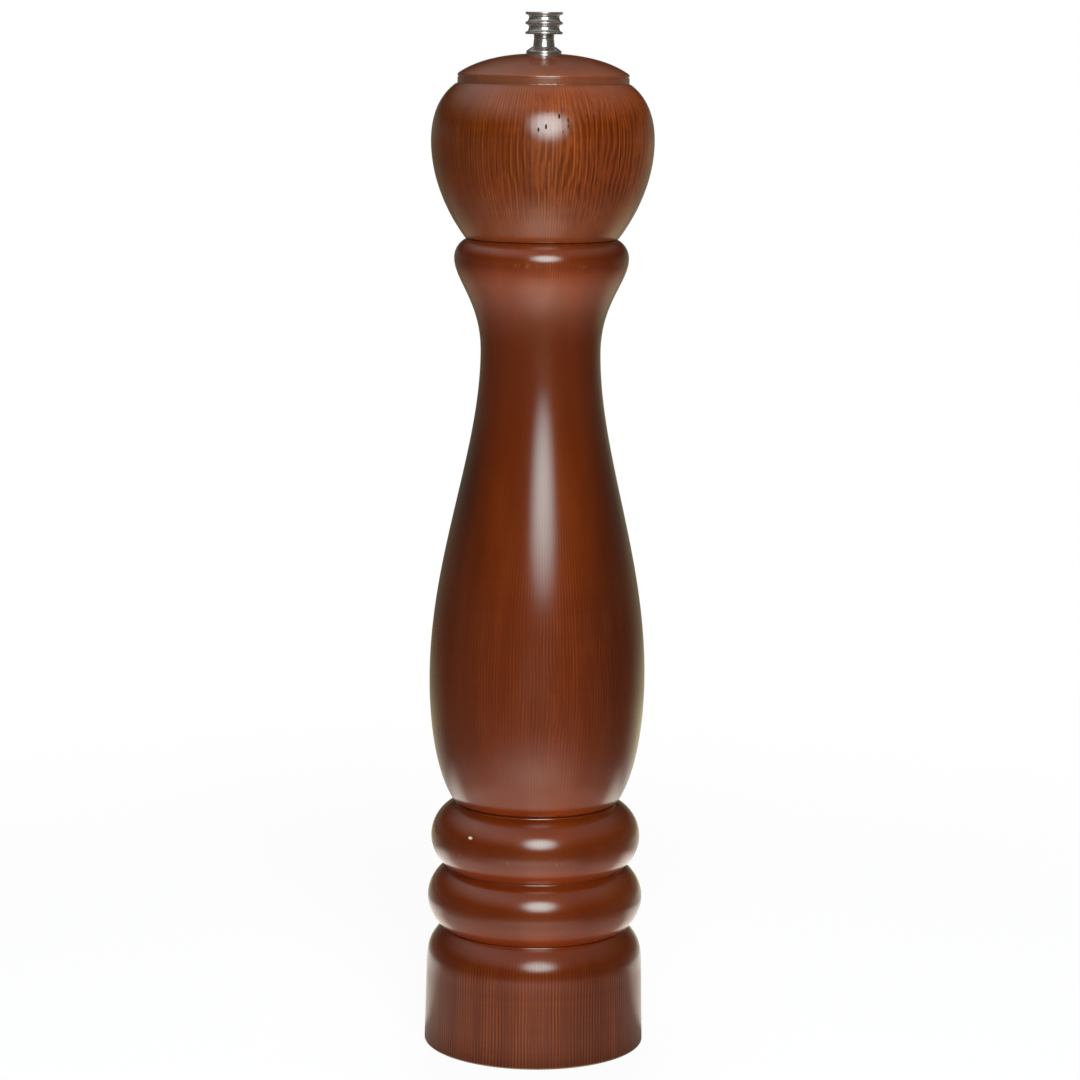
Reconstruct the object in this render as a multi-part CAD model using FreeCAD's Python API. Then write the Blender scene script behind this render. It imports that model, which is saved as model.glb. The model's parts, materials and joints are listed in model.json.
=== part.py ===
import FreeCAD, Part
import math
import os

# A turned wooden pepper mill: body, head, finial nut and the grinding mechanism inside.
# Millimetres, +Z up, origin on the axis at the foot's resting face.

# Turning stock: the widest turn, and how far below it each other full turn is cut
stock_radius = 32.7
head_turned_off = 0.35
lower_bead_turned_off = 0.77
upper_bead_turned_off = 1.67
bulge_turned_off = 0.85

# Body, outside, from the foot up
base_taper = 0.5
base_wall_height = 24.3
shoulder_inset = 4.43
shoulder_height = 10.73
groove_depth = 0.7
groove_rise = 0.4
lower_bead_curve = 10.75
lower_bead_below = 9.06
lower_bead_above = 9.4
upper_bead_curve = 10.78
upper_bead_below = 9.12
upper_bead_above = 10.12
bulge_foot_step = 0.72
bulge_foot_rise = 1.12
bulge_foot_flare = 4.76
bulge_foot_lean = 7.48
bulge_height = 36.63
bulge_lower_fullness = 15.4
bulge_upper_fullness = 36.7
neck_radius = 17.52
neck_height = 96.72
neck_lower_fullness = 30.05
neck_upper_fullness = 14.55
collar_radius = 25.42
collar_height = 27.3
collar_lower_fullness = 6.78
collar_round_height = 5.52
collar_round_inset = 3.55

# Head, outside, from the joint up
joint_gap = 0.1
head_foot_radius = 22.2
head_foot_flare = 4.75
head_foot_lean = 6.26
head_lower_height = 28.2
head_lower_fullness = 11.71
head_upper_height = 16.28
head_upper_fullness = 8.05
head_shoulder_radius = 25.28
head_shoulder_flare = 4.14
head_shoulder_lean = 3.0
step_inset = 0.45
step_height = 2.85
dome_height = 5.9
dome_edge_inset = 3.21
dome_edge_lean = 2.22
dome_fullness = 14.9

# Wood inside
neck_wall = 4.0
tenon_clearance = 0.25
tenon_length = 14.0
foot_recess_depth = 9.0
ledge_width = 5.1
pilot_gap = 0.05
seat_gap = 0.05

# Shaft and thread
shaft_side = 5.0
thread_radius = 2.0
thread_gap = 0.05
thread_engagement = 7.2
thread_below_bush = 2.6
thread_point = 0.4
stub_length = 5.8
bar_end_inside_rotor = 0.5
running_gap = 0.06
bar_clearance = 1.0
fine_travel = 1.4
end_play = 0.1

# Burrs
burr_mouth_radius = 15.6
burr_slope = 0.36
burr_gap = 0.65
fine_teeth = 24
fine_tooth_depth = 0.8
fine_twist_deg = 9.0
fine_height = 8.5
stator_teeth = 30
stator_wall = 3.2
stator_rim = 2.6
stator_height = 14.5
rotor_drop = 1.0
feed_flutes = 5
feed_height = 4.5
feed_foot_radius = 11.4
feed_top_radius = 6.6
feed_flute_depth = 2.4
feed_twist_deg = 40.0

# Bridge, bush, clip and spring
strap_thickness = 1.5
strap_margin = 1.4
strap_clearance = 0.6
bridge_rise = 12.0
key_clearance = 0.1
bush_wall = 0.8
bush_flange_width = 1.2
bush_flange_thickness = 0.8
clip_thickness = 0.7
clip_width = 2.2
clip_groove_depth = 0.8
spring_wire = 0.9
spring_turns = 5
washer_thickness = 0.8
washer_margin = 0.9

# Fasteners in the foot and under the head
ring_thickness = 1.5
ring_mouth_gap = 1.3
ring_screw_count = 3
ring_screw_length = 9.0
ring_screw_radius = 1.15
plate_thickness = 1.5
plate_clearance = 1.5
plate_screw_count = 2
plate_screw_length = 8.0
plate_screw_radius = 1.0
screw_head_ratio = 1.9
screw_head_height = 1.3
rotor_washer_radius = 4.5
lock_nut_flats = 7.0
lock_nut_height = 3.2
lock_nut_collar = 1.4
lock_nut_collar_radius = 2.9

# Finial nut, cap washer and bush on the head's top
washer_seat_depth = 0.2
cap_washer_radius = 5.1
cap_washer_rim = 0.8
cap_washer_top_radius = 3.45
cap_washer_height = 2.0
nut_neck_radius = 3.15
nut_neck_waist = 0.22
nut_neck_height = 3.6
nut_flange_radius = 5.4
nut_flange_edge = 0.65
nut_flange_count = 3
nut_groove_depth = 1.05
nut_groove_width = 2.2
head_bush_radius = 3.6
head_bush_length = 6.0

# Heights that follow from the sizes above
foot_arris_z = base_wall_height + shoulder_height
lower_bead_z = foot_arris_z + lower_bead_below
lower_arris_z = lower_bead_z + lower_bead_above
upper_bead_z = lower_arris_z + upper_bead_below
upper_arris_z = upper_bead_z + upper_bead_above
bulge_foot_z = upper_arris_z + bulge_foot_rise
bulge_z = bulge_foot_z + bulge_height
neck_z = bulge_z + neck_height
collar_z = neck_z + collar_height
body_top_z = collar_z + collar_round_height
head_foot_z = body_top_z + joint_gap
head_z = head_foot_z + head_lower_height
step_z = head_z + head_upper_height
dome_edge_z = step_z + step_height
dome_z = dome_edge_z + dome_height
washer_seat_z = dome_z - washer_seat_depth
nut_z = washer_seat_z + cap_washer_height
thread_top_z = nut_z + thread_engagement
head_bush_z = washer_seat_z - head_bush_length
tenon_z = head_foot_z - tenon_length
plate_z = tenon_z - plate_thickness
ledge_z = foot_recess_depth
recess_top_z = ledge_z + stator_height
ring_z = ledge_z - ring_thickness
rotor_z = ledge_z - rotor_drop
feed_z = rotor_z + fine_height
rotor_top_z = feed_z + feed_height
spring_z = rotor_top_z + washer_thickness + end_play
bar_top_z = recess_top_z + bridge_rise
bar_z = bar_top_z - strap_thickness
thrust_z = bar_z - end_play - washer_thickness
clip_z = bar_top_z + bush_flange_thickness + end_play
bar_foot_z = rotor_z + bar_end_inside_rotor
bar_head_z = head_bush_z - thread_below_bush

# Radii that follow
base_radius = stock_radius
base_top_radius = base_radius - base_taper
foot_arris_radius = base_top_radius - shoulder_inset
lower_bead_radius = stock_radius - lower_bead_turned_off
upper_bead_radius = stock_radius - upper_bead_turned_off
bulge_radius = stock_radius - bulge_turned_off
head_radius = stock_radius - head_turned_off
chamber_radius = neck_radius - neck_wall
tenon_radius = chamber_radius - tenon_clearance
stator_radius = burr_mouth_radius + fine_tooth_depth + stator_wall
recess_radius = stator_radius + seat_gap
foot_recess_radius = recess_radius + ledge_width
shaft_corner_radius = shaft_side / math.sqrt(2)
bar_hole_radius = shaft_corner_radius + bar_clearance
bush_bore_radius = shaft_corner_radius + running_gap
bush_radius = bush_bore_radius + bush_wall
bush_flange_radius = bush_radius + bush_flange_width
strap_width = 2 * (bush_radius + seat_gap + strap_margin)
strap_outside = chamber_radius - strap_clearance - strap_width ** 2 / (8 * chamber_radius)
spring_radius = bar_hole_radius + spring_wire / 2
spring_washer_radius = spring_radius + spring_wire / 2 + washer_margin
ring_screw_circle = recess_radius + ledge_width / 2
plate_screw_circle = (bar_hole_radius + tenon_radius) / 2

AXIS = FreeCAD.Vector(0, 0, 1)
CENTRE = FreeCAD.Vector(0, 0, 0)


class HalfSection:
    """Half of a turned piece's section, drawn edge by edge as radius and height."""

    def __init__(self, radius, height):
        self.start = FreeCAD.Vector(radius, 0, height)
        self.end = self.start
        self.edges = []

    def line(self, radius, height):
        point = FreeCAD.Vector(radius, 0, height)
        self.edges.append(Part.LineSegment(self.end, point).toShape())
        self.end = point
        return self

    def arc(self, through, to):
        middle = FreeCAD.Vector(through[0], 0, through[1])
        point = FreeCAD.Vector(to[0], 0, to[1])
        self.edges.append(Part.Arc(self.end, middle, point).toShape())
        self.end = point
        return self

    def curve(self, *poles):
        points = [self.end] + [FreeCAD.Vector(r, 0, z) for r, z in poles]
        bezier = Part.BezierCurve()
        bezier.setPoles(points)
        self.edges.append(bezier.toShape())
        self.end = points[-1]
        return self

    def turned(self):
        self.line(self.start.x, self.start.z)
        return Part.Face(Part.Wire(self.edges)).revolve(CENTRE, AXIS, 360)


def disc(radius, low, high, x=0.0, y=0.0):
    return Part.makeCylinder(radius, high - low, FreeCAD.Vector(x, y, low))


def ring(inner, outer, low, high):
    return disc(outer, low, high).cut(disc(inner, low, high))


def bar(side_x, side_y, low, high, x=0.0):
    corner = FreeCAD.Vector(x - side_x / 2, -side_y / 2, low)
    return Part.makeBox(side_x, side_y, high - low, corner)


def square_bar(side, low, high):
    return bar(side, side, low, high)


def spread(count, circle, first_deg=90.0):
    """Evenly spaced places on a circle."""
    turns = [math.radians(first_deg + 360.0 * i / count) for i in range(count)]
    return [(circle * math.cos(a), circle * math.sin(a)) for a in turns]


def tooth_outline(teeth, tip, valley, height, turn_deg):
    points = []
    for i in range(2 * teeth):
        angle = math.radians(turn_deg) + math.pi * i / teeth
        radius = tip if i % 2 == 0 else valley
        points.append(FreeCAD.Vector(radius * math.cos(angle), radius * math.sin(angle), height))
    return Part.makePolygon(points + points[:1])


def toothed_cone(teeth, low, high, twist_deg):
    """Solid between two tooth outlines; low and high each give tip, valley and height."""
    outlines = [tooth_outline(teeth, *low, 0.0), tooth_outline(teeth, *high, twist_deg)]
    return Part.makeLoft(outlines, True, True)


def bead_point(crown, curve, height):
    """Radius on a bead's round section at a height above or below its crown."""
    return crown - curve + math.sqrt(curve ** 2 - height ** 2)


def bead_start(crown, curve, radius):
    """Depth below a bead's crown at which its round section has narrowed to a radius."""
    return math.sqrt(curve ** 2 - (radius - crown + curve) ** 2)


def shoulder_middle(radius, low, inset, height):
    """Middle of the arc that leaves an upright wall and ends inset further in, height further up."""
    curve = (inset ** 2 + height ** 2) / (2 * inset)
    half = math.atan2(height, curve - inset) / 2
    return radius - curve + curve * math.cos(half), low + curve * math.sin(half)


def bead(section, arris_radius, crown, crown_z, curve, above):
    """Groove beside the arris below, then the bead's round up to its own arris."""
    groove_radius = arris_radius - groove_depth
    section.line(groove_radius, crown_z - bead_start(crown, curve, groove_radius))
    top_radius = bead_point(crown, curve, above)
    section.arc((crown, crown_z), (top_radius, crown_z + above))
    return top_radius


def body():
    s = HalfSection(chamber_radius, recess_top_z)
    s.line(recess_radius, recess_top_z)
    s.line(recess_radius, ledge_z)
    s.line(foot_recess_radius, ledge_z)
    s.line(foot_recess_radius, 0)
    s.line(base_radius, 0)
    s.line(base_top_radius, base_wall_height)
    s.arc(shoulder_middle(base_top_radius, base_wall_height, shoulder_inset, shoulder_height),
          (foot_arris_radius, foot_arris_z))
    lower_arris = bead(s, foot_arris_radius, lower_bead_radius, lower_bead_z,
                       lower_bead_curve, lower_bead_above)
    upper_arris = bead(s, lower_arris, upper_bead_radius, upper_bead_z,
                       upper_bead_curve, upper_bead_above)
    bulge_foot_radius = upper_arris + bulge_foot_step
    s.line(upper_arris - groove_depth, upper_arris_z + groove_rise)
    s.line(bulge_foot_radius, bulge_foot_z)
    s.curve((bulge_foot_radius + bulge_foot_flare, bulge_foot_z + bulge_foot_lean),
            (bulge_radius, bulge_z - bulge_lower_fullness), (bulge_radius, bulge_z))
    s.curve((bulge_radius, bulge_z + bulge_upper_fullness),
            (neck_radius, neck_z - neck_lower_fullness), (neck_radius, neck_z))
    s.curve((neck_radius, neck_z + neck_upper_fullness),
            (collar_radius, collar_z - collar_lower_fullness), (collar_radius, collar_z))
    s.arc(shoulder_middle(collar_radius, collar_z, collar_round_inset, collar_round_height),
          (collar_radius - collar_round_inset, body_top_z))
    s.line(chamber_radius, body_top_z)
    wood = s.turned()
    for x, y in spread(ring_screw_count, ring_screw_circle):
        wood = wood.cut(disc(ring_screw_radius + pilot_gap, ledge_z, ledge_z + ring_screw_length, x, y))
    return wood


def head():
    seat_radius = cap_washer_radius + running_gap
    s = HalfSection(bar_hole_radius, tenon_z)
    s.line(tenon_radius, tenon_z)
    s.line(tenon_radius, head_foot_z)
    s.line(head_foot_radius, head_foot_z)
    s.curve((head_foot_radius + head_foot_flare, head_foot_z + head_foot_lean),
            (head_radius, head_z - head_lower_fullness), (head_radius, head_z))
    s.curve((head_radius, head_z + head_upper_fullness),
            (head_shoulder_radius + head_shoulder_flare, step_z - head_shoulder_lean),
            (head_shoulder_radius, step_z))
    band_radius = head_shoulder_radius - step_inset
    s.line(band_radius, step_z)
    s.line(band_radius, dome_edge_z)
    s.curve((band_radius - dome_edge_inset, dome_edge_z + dome_edge_lean),
            (dome_fullness, dome_z), (0, dome_z))
    s.line(0, head_bush_z)
    s.line(bar_hole_radius, head_bush_z)
    wood = s.turned()
    wood = wood.cut(disc(seat_radius, washer_seat_z, dome_z))
    wood = wood.cut(disc(head_bush_radius + seat_gap, head_bush_z, washer_seat_z))
    for x, y in spread(plate_screw_count, plate_screw_circle, 0.0):
        wood = wood.cut(disc(plate_screw_radius + pilot_gap, tenon_z, tenon_z + plate_screw_length, x, y))
    return wood


def adjusting_nut():
    bore_radius = thread_radius + thread_gap
    bore_top = thread_top_z + fine_travel + thread_point
    groove_radius = nut_flange_radius - nut_groove_depth
    height = nut_z + nut_neck_height
    s = HalfSection(0, bore_top)
    s.line(bore_radius, bore_top)
    s.line(bore_radius, nut_z)
    s.line(nut_neck_radius, nut_z)
    s.arc((nut_neck_radius - nut_neck_waist, nut_z + nut_neck_height / 2), (nut_neck_radius, height))
    s.line(nut_flange_radius, height)
    for groove in range(nut_flange_count - 1):
        height += nut_flange_edge
        s.line(nut_flange_radius, height)
        s.arc((groove_radius, height + nut_groove_width / 2), (nut_flange_radius, height + nut_groove_width))
        height += nut_groove_width
    height += nut_flange_edge
    s.line(nut_flange_radius, height)
    s.line(0, height)
    return s.turned()


def cap_washer():
    hole_radius = thread_radius + thread_gap
    s = HalfSection(hole_radius, washer_seat_z)
    s.line(cap_washer_radius, washer_seat_z)
    s.line(cap_washer_radius, washer_seat_z + cap_washer_rim)
    s.line(cap_washer_top_radius, nut_z)
    s.line(hole_radius, nut_z)
    return s.turned()


def head_bush():
    return ring(thread_radius + running_gap, head_bush_radius, head_bush_z, washer_seat_z)


def drive_plate():
    plate = disc(chamber_radius - plate_clearance, plate_z, tenon_z)
    plate = plate.cut(square_bar(shaft_side + 2 * running_gap, plate_z, tenon_z))
    for x, y in spread(plate_screw_count, plate_screw_circle, 0.0):
        plate = plate.cut(disc(plate_screw_radius + pilot_gap, plate_z, tenon_z, x, y))
    return plate


def pan_screw(radius, head_z, length, x, y):
    """Screw that points up, with its pan head below the height head_z."""
    shank = disc(radius, head_z, head_z + length, x, y)
    pan = disc(radius * screw_head_ratio, head_z - screw_head_height, head_z, x, y)
    return shank.fuse(pan).removeSplitter()


def drive_plate_screws():
    length = plate_thickness + plate_screw_length
    places = spread(plate_screw_count, plate_screw_circle, 0.0)
    return Part.makeCompound([pan_screw(plate_screw_radius, plate_z, length, x, y) for x, y in places])


def retaining_screws():
    length = ring_thickness + ring_screw_length
    places = spread(ring_screw_count, ring_screw_circle)
    return Part.makeCompound([pan_screw(ring_screw_radius, ring_z, length, x, y) for x, y in places])


def retaining_ring():
    mouth = burr_mouth_radius - burr_gap + burr_slope * rotor_drop + ring_mouth_gap
    plate = ring(mouth, foot_recess_radius - seat_gap, ring_z, ledge_z)
    for x, y in spread(ring_screw_count, ring_screw_circle):
        plate = plate.cut(disc(ring_screw_radius + pilot_gap, ring_z, ledge_z, x, y))
    return plate


def shaft():
    rod = square_bar(shaft_side, bar_foot_z, bar_head_z)
    groove_radius = shaft_corner_radius - clip_groove_depth
    rod = rod.cut(ring(groove_radius, bar_hole_radius, clip_z, clip_z + clip_thickness + end_play))
    thread = disc(thread_radius, bar_foot_z - stub_length, thread_top_z)
    return rod.fuse(thread).removeSplitter()


def shaft_clip():
    inner = shaft_corner_radius - clip_groove_depth + seat_gap
    clip = ring(inner, inner + clip_width, clip_z, clip_z + clip_thickness)
    gap_width = 2 * inner - clip_groove_depth
    gap_length = inner + clip_width
    return clip.cut(bar(gap_length, gap_width, clip_z, clip_z + clip_thickness, gap_length / 2))


def bridge():
    inside = strap_outside - strap_thickness
    foot_length = stator_radius - inside
    top = bar(2 * strap_outside, strap_width, bar_z, bar_top_z)
    strap = top.cut(disc(bush_radius + seat_gap, bar_z, bar_top_z))
    for side in (-1, 1):
        leg = bar(strap_thickness, strap_width, recess_top_z - strap_thickness, bar_z,
                  side * (inside + strap_thickness / 2))
        foot = bar(foot_length, strap_width, recess_top_z - strap_thickness, recess_top_z,
                   side * (inside + foot_length / 2))
        foot = foot.common(disc(stator_radius, recess_top_z - strap_thickness, recess_top_z))
        strap = strap.fuse([leg, foot])
    return strap.removeSplitter()


def bridge_bush():
    sleeve = disc(bush_radius, bar_z, bar_top_z)
    flange = disc(bush_flange_radius, bar_top_z, bar_top_z + bush_flange_thickness)
    bush = sleeve.fuse(flange).removeSplitter()
    return bush.cut(disc(bush_bore_radius, bar_z, bar_top_z + bush_flange_thickness))


def square_washer(low, gap):
    washer = disc(spring_washer_radius, low, low + washer_thickness)
    return washer.cut(square_bar(shaft_side + 2 * gap, low, low + washer_thickness))


def thrust_washer():
    return square_washer(thrust_z, running_gap)


def spring_seat():
    return square_washer(rotor_top_z, seat_gap)


def spring():
    wire_radius = spring_wire / 2
    rise = thrust_z - spring_z - spring_wire
    helix = Part.makeHelix(rise / spring_turns, rise, spring_radius)
    helix.translate(FreeCAD.Vector(0, 0, spring_z + wire_radius))
    start = FreeCAD.Vector(spring_radius, 0, spring_z + wire_radius)
    section = Part.Wire(Part.Circle(start, FreeCAD.Vector(0, 1, 0), wire_radius).toShape())
    return Part.Wire(helix.Edges).makePipeShell([section], True, True)


def rotor():
    mouth = burr_mouth_radius - burr_gap + burr_slope * rotor_drop
    throat = mouth - burr_slope * fine_height
    grinder = toothed_cone(fine_teeth, (mouth, mouth - fine_tooth_depth, rotor_z),
                           (throat, throat - fine_tooth_depth, feed_z), fine_twist_deg)
    feed = toothed_cone(feed_flutes, (feed_foot_radius, feed_foot_radius - feed_flute_depth, feed_z),
                        (feed_top_radius, feed_top_radius, rotor_top_z), feed_twist_deg)
    hole = square_bar(shaft_side + 2 * seat_gap, rotor_z, rotor_top_z)
    return grinder.fuse(feed).cut(hole)


def rotor_washer():
    return ring(thread_radius + thread_gap, rotor_washer_radius, rotor_z - washer_thickness, rotor_z)


def rotor_nut():
    top = rotor_z - washer_thickness
    corner = lock_nut_flats / math.sqrt(3)
    corners = [FreeCAD.Vector(x, y, top - lock_nut_height) for x, y in spread(6, corner)]
    hexagon = Part.Face(Part.makePolygon(corners + corners[:1]))
    nut = hexagon.extrude(FreeCAD.Vector(0, 0, lock_nut_height))
    collar_z = top - lock_nut_height - lock_nut_collar
    nut = nut.fuse(disc(lock_nut_collar_radius, collar_z, top - lock_nut_height)).removeSplitter()
    return nut.cut(disc(thread_radius + thread_gap, collar_z, top))


def stator():
    throat_z = ledge_z + fine_height
    throat = burr_mouth_radius - burr_slope * fine_height
    funnel_radius = stator_radius - stator_rim
    block = disc(stator_radius, ledge_z, recess_top_z)
    teeth = toothed_cone(stator_teeth, (burr_mouth_radius + fine_tooth_depth, burr_mouth_radius, ledge_z),
                         (throat + fine_tooth_depth, throat, throat_z), -fine_twist_deg)
    funnel = HalfSection(0, throat_z).line(throat, throat_z).line(funnel_radius, recess_top_z)
    funnel = funnel.line(0, recess_top_z).turned()
    key = bar(2 * stator_radius, strap_width + 2 * key_clearance,
              recess_top_z - strap_thickness, recess_top_z)
    return block.cut(teeth).cut(funnel).cut(key)


PIECES = (body, head, adjusting_nut, cap_washer, head_bush, drive_plate, drive_plate_screws, shaft,
          shaft_clip, bridge, bridge_bush, thrust_washer, spring, spring_seat, rotor, rotor_washer,
          rotor_nut, stator, retaining_ring, retaining_screws)

os.makedirs("parts", exist_ok=True)
for piece in PIECES:
    shape = piece()
    shape.exportStep("parts/" + piece.__name__ + ".step")
    print(piece.__name__, len(shape.Solids), shape.isValid(), round(shape.Volume, 1))
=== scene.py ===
import json
import math

import bpy
import numpy as np
from mathutils import Matrix, Vector

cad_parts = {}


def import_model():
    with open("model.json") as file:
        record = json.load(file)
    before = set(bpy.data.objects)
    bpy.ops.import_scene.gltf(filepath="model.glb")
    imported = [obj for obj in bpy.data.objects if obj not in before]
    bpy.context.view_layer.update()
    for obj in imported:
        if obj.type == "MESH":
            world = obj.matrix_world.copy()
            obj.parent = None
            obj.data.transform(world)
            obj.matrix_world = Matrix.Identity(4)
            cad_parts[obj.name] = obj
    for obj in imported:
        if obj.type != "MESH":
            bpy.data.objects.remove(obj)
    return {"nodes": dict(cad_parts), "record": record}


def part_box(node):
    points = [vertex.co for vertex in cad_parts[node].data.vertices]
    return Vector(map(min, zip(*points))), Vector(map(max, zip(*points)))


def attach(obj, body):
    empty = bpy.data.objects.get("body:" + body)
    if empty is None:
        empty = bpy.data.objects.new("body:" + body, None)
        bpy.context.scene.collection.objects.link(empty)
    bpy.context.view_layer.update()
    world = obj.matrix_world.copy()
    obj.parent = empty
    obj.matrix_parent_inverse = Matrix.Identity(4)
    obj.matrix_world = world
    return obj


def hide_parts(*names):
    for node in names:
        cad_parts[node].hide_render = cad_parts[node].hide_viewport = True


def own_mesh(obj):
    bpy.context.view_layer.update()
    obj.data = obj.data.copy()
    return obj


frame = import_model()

# A turned, stained and lacquered wooden pepper mill with a chromed finial nut.
# Sections are written in millimetres and scaled to metres where a mesh is made.

MM = 0.001
TAU = 2 * math.pi

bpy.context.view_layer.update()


def top_of(node):
    """Height of a node's top in millimetres."""
    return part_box(node)[1].z / MM


def foot_of(node):
    """Height of a node's underside in millimetres."""
    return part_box(node)[0].z / MM


# Turned outline of the body, from the foot up
STOCK = 32.7
BASE_TOP = STOCK - 0.5
BASE_WALL = 22.5
FOOT_ARRIS = BASE_TOP - 4.43
FOOT_ARRIS_Z = 35.03
BASE_ROUND_RISE = 6.1
BASE_ROUND_LEAN = np.array([4.19, -4.75])
GROOVE_DEPTH = 0.7
GROOVE_RISE = 0.4
LOWER_BEAD = STOCK - 0.77
LOWER_BEAD_CURVE = 10.75
LOWER_BEAD_BELOW = 9.06
LOWER_BEAD_ABOVE = 9.4
UPPER_BEAD = STOCK - 1.67
UPPER_BEAD_CURVE = 10.78
UPPER_BEAD_BELOW = 9.12
UPPER_BEAD_ABOVE = 10.12
BULGE_FOOT_STEP = 0.72
BULGE_FOOT_RISE = 1.12
BULGE_FOOT_LEAN = np.array([4.76, 7.48])
BULGE = STOCK - 0.85
BULGE_HEIGHT = 36.63
BULGE_FULLNESS = (15.4, 36.7)
NECK = 17.52
NECK_HEIGHT = 96.72
NECK_FULLNESS = (30.05, 14.55)
COLLAR = 25.42
COLLAR_HEIGHT = 27.3
COLLAR_FULLNESS = 6.78
COLLAR_ROUND_HEIGHT = 5.52
COLLAR_ROUND_INSET = 3.55
CHAMBER = NECK - 4.0
RECESS = 19.65
RECESS_TOP = 23.5
FOOT_RECESS = 24.75
LEDGE = 9.0

# Turned outline of the head, from the joint up
JOINT_GAP = 0.1
TENON = CHAMBER - 0.25
HEAD_FOOT = 22.2
HEAD_FOOT_LEAN = np.array([4.75, 6.26])
HEAD = STOCK - 0.35
HEAD_LOWER_HEIGHT = 28.2
HEAD_LOWER_FULLNESS = 11.71
HEAD_UPPER_HEIGHT = 16.28
HEAD_UPPER_FULLNESS = 8.05
HEAD_SHOULDER = 25.28
HEAD_SHOULDER_LEAN = np.array([4.14, -3.0])
BAND = HEAD_SHOULDER - 0.45
BAND_HEIGHT = 2.85
DOME_HEIGHT = 5.9
DOME_EDGE_LEAN = np.array([-3.21, 2.22])
DOME_FULLNESS = 14.9
BAR_HOLE = 4.536
BUSH_HOLE = 3.65
WASHER_SEAT = 5.16

# Finial nut and its conical washer
# NUT_NECK_CURVE is a place on the neck's curve, in parts of its waist and of its height.
THREAD_BORE = 2.05
NUT_NECK = 3.15
NUT_NECK_WAIST = 0.22
NUT_NECK_HEIGHT = 3.6
NUT_NECK_CURVE = (0.8, 0.45)
NUT_NECK_LINE = 2.3
NUT_LINE_DEPTH = 0.16
NUT_LINE_WIDTH = 0.14
NUT_FLANGE = 5.4
NUT_FLANGE_EDGE = 0.65
NUT_GROOVE_DEPTH = 1.05
NUT_GROOVE_WIDTH = 2.2
NUT_GROOVE_TAPER = 0.13
NUT_FILLET = 0.95
NUT_FILLET_PULL = 0.35
NUT_FILLET_LIFT = 0.1
NUT_BORE_ROOF = 0.95
CAP_WASHER = 5.1
CAP_WASHER_RIM = 0.8
CAP_WASHER_TOP = 3.45

# Shaft, spring and fasteners
SHAFT_HALF = 2.5
SHAFT_CORNER = SHAFT_HALF * math.sqrt(2)
SHAFT_CORNER_FLAT = 0.2
BAR_FOOT = LEDGE - 0.5
BAR_HEAD_BELOW_BUSH = 2.6
BAR_CHAMFER = 0.4
CLIP_GROOVE = SHAFT_CORNER - 0.8
CLIP_GROOVE_HEIGHT = 0.8
THREAD = 2.0
THREAD_PITCH = 0.7
THREAD_DEPTH = 0.38
THREAD_RUN_OUT = 0.5
THREAD_TAPER = 0.4
SPRING = 4.986
SPRING_LENGTH = 11.2
SPRING_WIRE = 0.9
SPRING_TURNS = 6
LOCK_NUT_HALF_FLATS = 3.5
LOCK_NUT_COLLAR = 2.9
LOCK_NUT_COLLAR_HEIGHT = 1.4
LOCK_NUT_COLLAR_EDGE = 0.3
LOCK_NUT_CHAMFER = 0.35
LOCK_NUT_BORE_EDGES = (0.2, 0.3)
RING_SCREW_CIRCLE = 22.2
RING_SCREW = 1.15
PLATE_SCREW_CIRCLE = 8.903
PLATE_SCREW = 1.0
SCREW_HEAD_RATIO = 1.9
SCREW_HEAD_HEIGHT = 1.3
SCREW_PITCH = 1.1
SCREW_THREAD_DEPTH = 0.22
CROSS_DEPTH = 0.75
CROSS_HALF_WIDTH = 0.3
CROSS_REACH = 1.25

# Edges as turning, sanding and lacquer leave them
RIM_ROUND = 0.45
ARRIS_ROUND = 0.04
EDGE_ROUND = 0.3
LIP = np.array([-0.1, 0.28])
LIP_ROUND = 0.1
VALLEY_ROUND = 0.12
BARE_ROUND = 0.3
HOLE_ROUND = 0.05
SEAT_ROUND = 0.02
STEP_ROUND = 0.15
COVE = 0.9
DOME_EDGE_ROUND = 0.5
DOME_GROOVE = 0.25
DOME_GROOVE_BELOW = 0.85
TEAR_DEPTH = 0.07
TEAR_HEIGHT = 0.3
TEAR_SIDE = 1.35
TEAR_REACH = 3
CHROME_ROUND = 0.12

# Steps round each turned piece and along the spring's wire
BODY_SEGMENTS = 216
HEAD_SEGMENTS = 360
SHAFT_SEGMENTS = 48
LOCK_NUT_SEGMENTS = 72
SCREW_SEGMENTS = 40
ROWS_PER_PITCH = 8
COIL_STEPS = 48
WIRE_SIDES = 14


def straight(start, end, count=2):
    """Even steps along the line between two places of a section."""
    return np.linspace(start, end, count)


def chain(*places):
    """Straight runs from each place of a section to the next."""
    return [straight(start, end) for start, end in zip(places, places[1:])]


def arc(start, through, end, count):
    """Even angles on the circle through three places, its centre where two bisectors cross."""
    a, b, c = (np.asarray(p, float) for p in (start, through, end))
    rows = 2 * np.array([b - a, c - a])
    centre = np.linalg.solve(rows, [b @ b - a @ a, c @ c - a @ a])
    angles = np.unwrap([math.atan2(*(p - centre)[::-1]) for p in (a, b, c)])
    turn = np.linspace(angles[0], angles[2], count)
    return centre + np.hypot(*(a - centre)) * np.stack([np.cos(turn), np.sin(turn)], axis=-1)


def curve(start, first, second, end, count):
    """Cubic curve: four places weighted by the binomial powers of t and 1 - t."""
    t = np.linspace(0, 1, count)[:, None]
    places = [np.asarray(p, float) for p in (start, first, second, end)]
    weights = [(1 - t) ** 3, 3 * t * (1 - t) ** 2, 3 * t ** 2 * (1 - t), t ** 3]
    return sum(w * p for w, p in zip(weights, places))


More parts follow.
